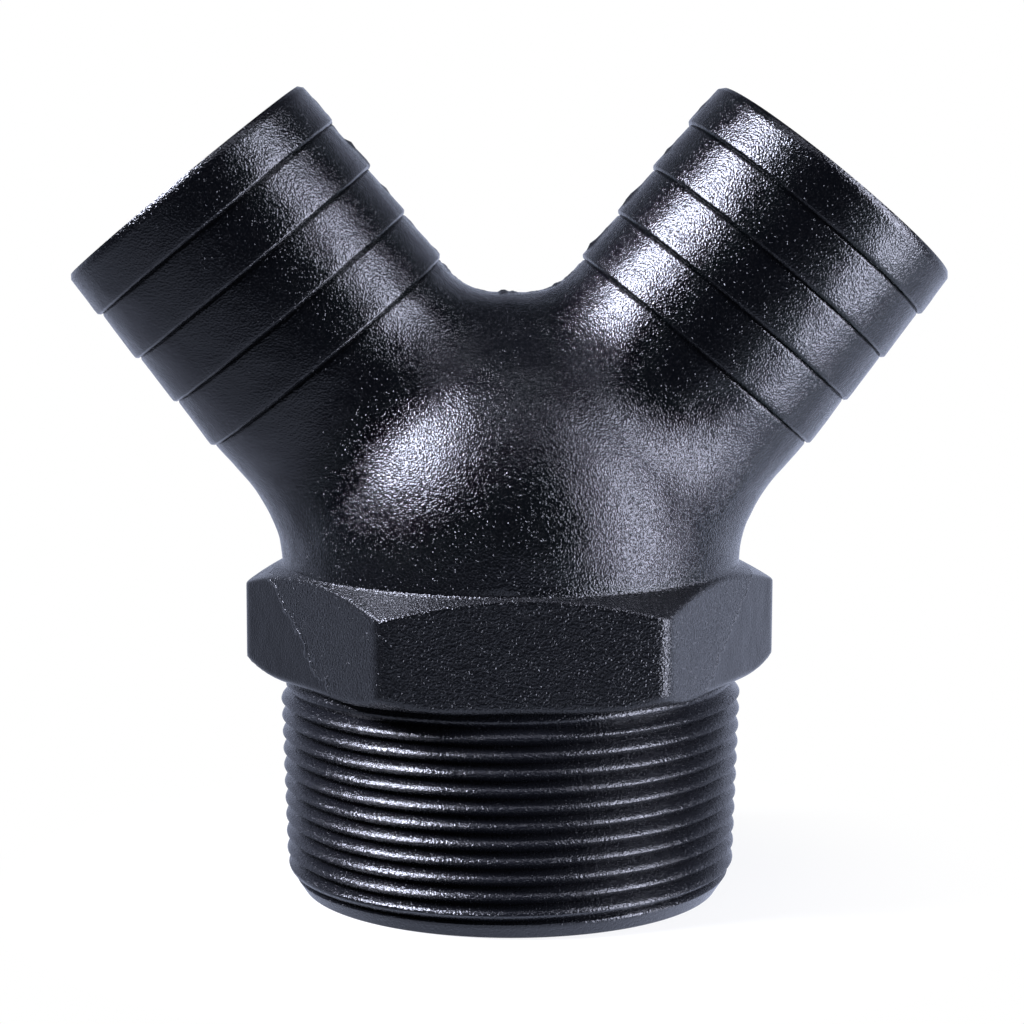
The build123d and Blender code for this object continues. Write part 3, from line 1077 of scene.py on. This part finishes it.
@dataclass(frozen=True)
class Finish:
    """A coated iron finish.

    Attributes:
        name: Name of the finish.
        colour: Its colour as sRGB hex.
        light_colour: Colour of its raised grains.
        roughness: Mean roughness.
        grain: Size of the grains, in millimetres.
        relief: Height of the grains, in millimetres.
        wave: Height of the slow unevenness, in millimetres.
        grit: Height of single proud grains, in millimetres.
        grit_spacing: Distance between them, in millimetres.
        grit_share: Share of them that stand proud.
        scar: Height of the step that a slipped mould left on the side flats, in millimetres.
        arm_share: Share of the grains' height that is left on the barbs.
    """

    name: str
    colour: str
    light_colour: str
    roughness: float
    grain: float
    relief: float
    wave: float
    grit: float
    grit_spacing: float
    grit_share: float
    scar: float = 0.0
    arm_share: float = 1.0

    def material(self) -> bpy.types.Material:
        """Builds the finish as a procedural material.

        Returns:
            The material.
        """
        material = bpy.data.materials.new(self.name)
        tree = bare_tree(material)
        place = add_node(tree, "ShaderNodeTexCoord").outputs["Object"]
        place = add_node(
            tree, "ShaderNodeVectorMath", {0: place, "Scale": 1 / MM}, operation="SCALE"
        ).outputs[0]
        grains = add_node(
            tree,
            "ShaderNodeTexNoise",
            {"Vector": place, "Scale": 1 / self.grain, "Detail": 1.5, "Roughness": 0.5},
        ).outputs["Fac"]
        height = self.gritty(tree, place, grains)
        if self.scar:
            height = self.scarred(tree, place, height)
        if self.arm_share < 1:
            height = self.smoother_on_arms(tree, place, height)
        # A Mix node's colour sockets are its inputs 6 and 7 and its output 2
        tint = add_node(
            tree,
            "ShaderNodeMix",
            {0: grains, 6: linear(self.colour), 7: linear(self.light_colour)},
            data_type="RGBA",
        ).outputs[2]
        gloss = add_node(
            tree,
            "ShaderNodeMapRange",
            {
                "Value": grains,
                "From Min": GRAIN_LOW,
                "From Max": GRAIN_HIGH,
                "To Min": self.roughness + GLOSS_SWING,
                "To Max": self.roughness - GLOSS_SWING,
            },
        ).outputs[0]
        waves = add_node(
            tree, "ShaderNodeTexNoise", {"Vector": place, "Scale": WAVE_SCALE, "Detail": 2.0}
        ).outputs["Fac"]
        normal = add_node(
            tree, "ShaderNodeBump", {"Height": waves, "Distance": self.wave * MM, "Strength": 1.0}
        ).outputs[0]
        normal = add_node(
            tree,
            "ShaderNodeBump",
            {"Height": height, "Distance": self.relief * MM, "Strength": 1.0, "Normal": normal},
        ).outputs[0]
        shader = add_node(
            tree, "ShaderNodeBsdfPrincipled", {"Base Color": tint, "Roughness": gloss, "Normal": normal}
        ).outputs[0]
        add_node(tree, "ShaderNodeOutputMaterial", {"Surface": shader})
        return material

    def gritty(self, tree: Tree, place: Socket, grains: Socket) -> Socket:
        """Adds single proud grains to the grain.

        Args:
            tree: The material's tree.
            place: Socket of the place in millimetres.
            grains: Socket of the grain's height, as a share of the relief.

        Returns:
            Socket of the height with the proud grains.
        """
        cells = add_node(tree, "ShaderNodeTexVoronoi", {"Vector": place, "Scale": 1 / self.grit_spacing})
        bump = add_node(
            tree,
            "ShaderNodeMapRange",
            {
                "Value": cells.outputs["Distance"],
                "From Min": GRIT_TOP,
                "From Max": GRIT_FOOT,
                "To Min": 1.0,
                "To Max": 0.0,
            },
            interpolation_type="SMOOTHSTEP",
        )
        chance = add_node(tree, "ShaderNodeSeparateColor", {0: cells.outputs["Color"]})
        chosen = add_node(
            tree,
            "ShaderNodeMapRange",
            {"Value": chance.outputs[0], "From Min": 1 - self.grit_share, "From Max": 1.0},
        )
        known = {"grains": grains, "bump": bump.outputs[0], "chosen": chosen.outputs[0]}
        steps = (
            ("proud", "MULTIPLY", "bump", "chosen"),
            ("height", "MULTIPLY_ADD", "proud", self.grit / self.relief, "grains"),
        )
        run_formula(tree, steps, known)
        return known["height"]

    def scarred(self, tree: Tree, place: Socket, height: Socket) -> Socket:
        """Adds a slanting wrinkle to each front side flat, outside which the skin is smoother.

        Args:
            tree: The material's tree.
            place: Socket of the place in millimetres.
            height: Socket of the grain's height, as a share of the relief.

        Returns:
            Socket of the height with the wrinkle.
        """
        parts = add_node(tree, "ShaderNodeSeparateXYZ", {0: place}).outputs
        wobble = add_node(tree, "ShaderNodeTexNoise", {"Vector": place, "Scale": SCAR_NOISE, "Detail": 2.0})
        known = {"x": parts[0], "y": parts[1], "z": parts[2], "wobble": wobble.outputs[0], "height": height}
        steps = (
            ("sideways", "ABSOLUTE", "x"),
            ("line", "MULTIPLY_ADD", "z", SCAR_SLANT, SCAR_FOOT),
            ("beyond", "SUBTRACT", "sideways", "line"),
            ("ragged", "MULTIPLY_ADD", "wobble", SCAR_RAGGEDNESS, "beyond"),
            ("outer_raw", "MULTIPLY_ADD", "ragged", SCAR_STEEPNESS, SCAR_OFFSET),
            ("outer_low", "MAXIMUM", "outer_raw", 0.0),
            ("outer", "MINIMUM", "outer_low", 1.0),
            ("inner", "SUBTRACT", 1.0, "outer"),
            ("lip", "MULTIPLY", "outer", "inner"),  # a quarter at most, so it is raised four times
            ("is_front", "LESS_THAN", "y", 0.0),
            ("lip_front", "MULTIPLY", "lip", "is_front"),
            ("smoother", "MULTIPLY", "outer", "is_front"),
            ("kept", "MULTIPLY_ADD", "smoother", -SCAR_SMOOTHING, 1.0),
            ("grain", "MULTIPLY", "height", "kept"),
            ("total", "MULTIPLY_ADD", "lip_front", 4 * self.scar / self.relief, "grain"),
        )
        run_formula(tree, steps, known)
        return known["total"]

    def smoother_on_arms(self, tree: Tree, place: Socket, height: Socket) -> Socket:
        """Lowers the grain from the necks to the barbs.

        Args:
            tree: The material's tree.
            place: Socket of the place in millimetres.
            height: Socket of the grain's height, as a share of the relief.

        Returns:
            Socket of the lowered height.
        """
        arm = Fitting.outside
        start = arm.meeting * arm.axis[2]
        beside = add_node(tree, "ShaderNodeVectorMath", {0: place}, operation="ABSOLUTE").outputs[0]
        along = add_node(
            tree, "ShaderNodeVectorMath", {0: beside, 1: tuple(arm.axis)}, operation="DOT_PRODUCT"
        ).outputs["Value"]
        share = add_node(
            tree,
            "ShaderNodeMapRange",
            {
                "Value": along,
                "From Min": start + NECK_MIDDLE,
                "From Max": start + arm.end,
                "To Min": 1.0,
                "To Max": self.arm_share,
            },
        ).outputs[0]
        known = {"height": height, "share": share}
        run_formula(tree, (("lowered", "MULTIPLY", "height", "share"),), known)
        return known["lowered"]


# Grey iron, cast in sand and given a thin, baked, satin black coat. The sand's grain shows through the
# coat, so the eye gets a near-black ground with broken, glittering sheens, which are calmer on the
# barbs. Moulding sand is about 0.1 to 0.2 mm, and is drawn 0.26 mm wide, because finer wouldn't show.
COATED_SAND_SKIN = Finish(
    name="satin_black_on_sand_skin", colour="#010102", light_colour="#050608", roughness=0.19,
    grain=0.26, relief=0.125, wave=0.10, grit=0.05, grit_spacing=0.30, grit_share=0.9, arm_share=0.72,
)
# The same coat on the collar, whose mould was rougher and slipped. The flats look like fine leather,
# with a slanting wrinkle on each side flat. Its grain is drawn 0.27 mm wide for the same reason.
COATED_COLLAR = Finish(
    name="satin_black_on_coarse_sand_skin", colour="#020203", light_colour="#07080a", roughness=0.23,
    grain=0.27, relief=0.15, wave=0.12, grit=0.04, grit_spacing=0.30, grit_share=0.9, scar=0.10,
)
# The same coat over the cut thread. The torn iron under it is paler and a little duller, and each
# crest gets a thin, speckled line of light. Tool marks under 0.1 mm are drawn 0.28 mm wide to show.
COATED_THREAD = Finish(
    name="black_on_thread", colour="#08080a", light_colour="#111216", roughness=0.21,
    grain=0.28, relief=0.10, wave=0.08, grit=0.04, grit_spacing=0.30, grit_share=0.8,
)
# Cored bores with a thick, dull coat: dark grey with a broad, soft sheen over slow waves. The core's
# sand, about 0.2 mm, is drawn 0.4 mm wide, because the coat has filled its finest grain.
COATED_BORE = Finish(
    name="black_in_bore", colour="#0c0d10", light_colour="#141519", roughness=0.4,
    grain=0.4, relief=0.10, wave=0.3, grit=0.06, grit_spacing=0.5, grit_share=0.5,
)
FINISHES = {
    Slot.SKIN: COATED_SAND_SKIN,
    Slot.THREAD: COATED_THREAD,
    Slot.BORE: COATED_BORE,
    Slot.COLLAR: COATED_COLLAR,
}


@dataclass(frozen=True)
class Softbox:
    """A soft studio lamp that faces the fitting.

    Attributes:
        name: Its name.
        azimuth: Direction from the fitting, in degrees from the front, to the right.
        elevation: Height of that direction, in degrees.
        distance: From the fitting's middle, in metres.
        width: Its width, in metres.
        height: Its height, in metres.
        power: In watts.
        colour: As sRGB hex.
    """

    name: str
    azimuth: float
    elevation: float
    distance: float
    width: float
    height: float
    power: float
    colour: str = "#e4e8ff"

    def place(self, target: Vector) -> bpy.types.Object:
        """Adds the lamp to the scene.

        Args:
            target: The place that it faces.

        Returns:
            The lamp's object.
        """
        azimuth, elevation = math.radians(self.azimuth), math.radians(self.elevation)
        level = math.cos(elevation)
        way = Vector((math.sin(azimuth) * level, -math.cos(azimuth) * level, math.sin(elevation)))
        lamp = bpy.data.lights.new(self.name, "AREA")
        lamp.shape = "RECTANGLE"
        lamp.size, lamp.size_y, lamp.energy = self.width, self.height, self.power
        lamp.color = linear(self.colour)[:3]
        holder = add_object(self.name, lamp)
        holder.location = target + way * self.distance
        holder.rotation_euler = (-way).to_track_quat("-Z", "Y").to_euler()
        return holder


@dataclass(frozen=True)
class Viewpoint:
    """The camera's place, in millimetres and degrees, seen from the fitting's front.

    Attributes:
        distance: In front of the fitting's axis.
        aside: To the right of it.
        height: Above the bottom face.
        pitch: How far it looks down.
        yaw: How far the fitting is turned round Z against it.
        roll: How far it leans.
        sensor_width: Width of the sensor.
        focal_length: Of the lens.
        clip: Nearest and farthest distance that is drawn, in metres.
    """

    distance: float = 354.46
    aside: float = 0.14
    height: float = 97.52
    pitch: float = 7.79
    yaw: float = 3.12
    roll: float = 0.14
    sensor_width: float = 36.0
    focal_length: float = 96.70
    clip: tuple[float, float] = (0.01, 20.0)

    def place(self) -> bpy.types.Object:
        """Adds the camera and makes it the scene's.

        Returns:
            The camera's object.
        """
        lens = bpy.data.cameras.new("studio_camera")
        lens.sensor_width, lens.lens = self.sensor_width, self.focal_length
        lens.clip_start, lens.clip_end = self.clip
        camera = add_object("studio_camera", lens)
        turn = Matrix.Rotation(math.radians(-self.yaw), 4, "Z")
        spot = Matrix.Translation(Vector((self.aside, -self.distance, self.height)) * MM)
        look = Matrix.Rotation(math.radians(90 - self.pitch), 4, "X")
        lean = Matrix.Rotation(math.radians(self.roll), 4, "Z")
        camera.matrix_world = turn @ spot @ look @ lean
        bpy.context.scene.camera = camera
        return camera


@dataclass(frozen=True)
class Studio:
    """Plain pale floor, soft lamps and a white background.

    Attributes:
        lamps: The soft lamps.
        floor_colour: The floor's colour as sRGB hex.
        floor_half: Half its width, in metres.
        floor_drop: How far it lies under the bottom face, in metres.
        fade_start: Distance from the fitting at which it starts to fade to white, in metres.
        fade_end: Distance at which it has faded, in metres.
        fade_least: Share of white beside the fitting.
        surround_colour: Colour of what the fitting reflects, as sRGB hex.
        front_strength: Its strength in front.
        back_strength: Its strength behind.
        back_reach: How far back it has grown to that, as Y of a unit vector.
        right_excess: How much stronger it is on the right.
        overhead_share: Share of it that is left overhead.
        overhead_reach: How far up it has fallen to that, as Z of a unit vector.
        table_strength: Its strength below, where the pale table lies.
        table_start: How far down the table starts, as Z of a unit vector.
        table_full: How far down it has its full strength.
    """

    lamps: tuple[Softbox, ...] = (
        Softbox(
            "key_softbox", azimuth=-77, elevation=41, distance=0.80, width=0.29, height=0.29, power=24.5
        ),
        Softbox(
            "right_strip", azimuth=64, elevation=10, distance=0.75, width=0.20, height=1.25, power=20.5
        ),
        Softbox(
            "overhead_softbox", azimuth=0, elevation=74, distance=0.70, width=0.40, height=0.14, power=0.8
        ),
    )
    floor_colour: str = "#f2f2f0"
    floor_half: float = 3.0
    floor_drop: float = 0.00005
    fade_start: float = 0.02
    fade_end: float = 0.07
    fade_least: float = 0.8
    surround_colour: str = "#cdd6f2"
    front_strength: float = 0.012
    back_strength: float = 1.2
    back_reach: float = 0.9
    right_excess: float = 0.45
    overhead_share: float = 0.12
    overhead_reach: float = 0.62
    table_strength: float = 1.2
    table_start: float = -0.15
    table_full: float = -0.6

    def build(self, middle: Vector) -> list[bpy.types.Object]:
        """Adds lamps, floor and world.

        Args:
            middle: The fitting's middle.

        Returns:
            The lamps and the floor.
        """
        pieces = [lamp.place(middle) for lamp in self.lamps]
        pieces.append(self.add_floor())
        self.add_world()
        bpy.context.scene.view_settings.view_transform = "Standard"
        return pieces

    def add_floor(self) -> bpy.types.Object:
        """Adds a wide floor under the fitting, which fades into the white background.

        Returns:
            The floor.
        """
        half, low = self.floor_half, -self.floor_drop
        mesh = bpy.data.meshes.new("floor")
        corners = [(-half, -half, low), (half, -half, low), (half, half, low), (-half, half, low)]
        mesh.from_pydata(corners, [], [(0, 1, 2, 3)])
        mesh.materials.append(self.floor_material())
        floor = add_object("floor", mesh)
        return floor

    def floor_material(self) -> bpy.types.Material:
        """Builds the floor's material, which only the camera sees.

        Returns:
            The material.
        """
        # Matt painted board: pale and without sheen, so that it takes a soft shadow. It has no grain
        material = bpy.data.materials.new("matt_pale_floor")
        tree = bare_tree(material)
        seen = add_node(tree, "ShaderNodeLightPath").outputs["Is Camera Ray"]
        place = add_node(tree, "ShaderNodeTexCoord").outputs["Object"]
        away = add_node(tree, "ShaderNodeVectorMath", {0: place}, operation="LENGTH").outputs["Value"]
        far = add_node(
            tree,
            "ShaderNodeMapRange",
            {
                "Value": away,
                "From Min": self.fade_start,
                "From Max": self.fade_end,
                "To Min": self.fade_least,
            },
            interpolation_type="SMOOTHSTEP",
        ).outputs[0]
        matt = add_node(tree, "ShaderNodeBsdfDiffuse", {"Color": linear(self.floor_colour)}).outputs[0]
        white = add_node(tree, "ShaderNodeEmission", {"Strength": 1.0}).outputs[0]
        clear = add_node(tree, "ShaderNodeBsdfTransparent").outputs[0]
        faded = add_node(tree, "ShaderNodeMixShader", {0: far, 1: matt, 2: white}).outputs[0]
        mixed = add_node(tree, "ShaderNodeMixShader", {0: seen, 1: clear, 2: faded}).outputs[0]
        add_node(tree, "ShaderNodeOutputMaterial", {"Surface": mixed})
        return material

    def add_world(self) -> None:
        """Gives the camera a white background, and the fitting a pale backdrop behind and dark in front."""
        world = bpy.data.worlds.new("studio_world")
        tree = bare_tree(world)
        seen = add_node(tree, "ShaderNodeLightPath").outputs["Is Camera Ray"]
        way = add_node(tree, "ShaderNodeTexCoord").outputs["Generated"]
        parts = add_node(tree, "ShaderNodeSeparateXYZ", {0: way}).outputs
        known = {"x": parts["X"]}
        for result, part, start, end, low, high, course in (
            ("behind", "Y", 0.0, self.back_reach, self.front_strength, self.back_strength, "SMOOTHSTEP"),
            ("below", "Z", self.table_start, self.table_full, 0.0, self.table_strength, "LINEAR"),
            ("overhead", "Z", 0.0, self.overhead_reach, 1.0, self.overhead_share, "LINEAR"),
        ):
            known[result] = add_node(
                tree,
                "ShaderNodeMapRange",
                {"Value": parts[part], "From Min": start, "From Max": end, "To Min": low, "To Max": high},
                interpolation_type=course,
            ).outputs[0]
        steps = (
            ("sided", "MULTIPLY_ADD", "x", self.right_excess, 1.0),
            ("lowered", "MULTIPLY", "behind", "overhead"),
            ("brighter", "MAXIMUM", "lowered", "below"),
            ("strength", "MULTIPLY", "brighter", "sided"),
        )
        run_formula(tree, steps, known)
        surround = add_node(
            tree,
            "ShaderNodeBackground",
            {"Color": linear(self.surround_colour), "Strength": known["strength"]},
        ).outputs[0]
        white = add_node(
            tree, "ShaderNodeBackground", {"Color": linear("#ffffff"), "Strength": 1.0}
        ).outputs[0]
        mixed = add_node(tree, "ShaderNodeMixShader", {0: seen, 1: surround, 2: white}).outputs[0]
        add_node(tree, "ShaderNodeOutputWorld", {"Surface": mixed})
        bpy.context.scene.world = world


def main() -> None:
    """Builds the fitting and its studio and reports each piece."""
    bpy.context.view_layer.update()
    for finish in FINISHES.values():
        finish.material()
    casting = Fitting().build()
    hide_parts(NODE)
    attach(casting, "root")
    low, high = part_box(NODE)
    for piece in (casting, *Studio().build((low + high) / 2), Viewpoint().place()):
        size = [round(length, 4) for length in piece.dimensions]
        LOG.info("%s: %s, size %s m", piece.name, piece.type.lower(), size)


if __name__ == "__main__":
    main()
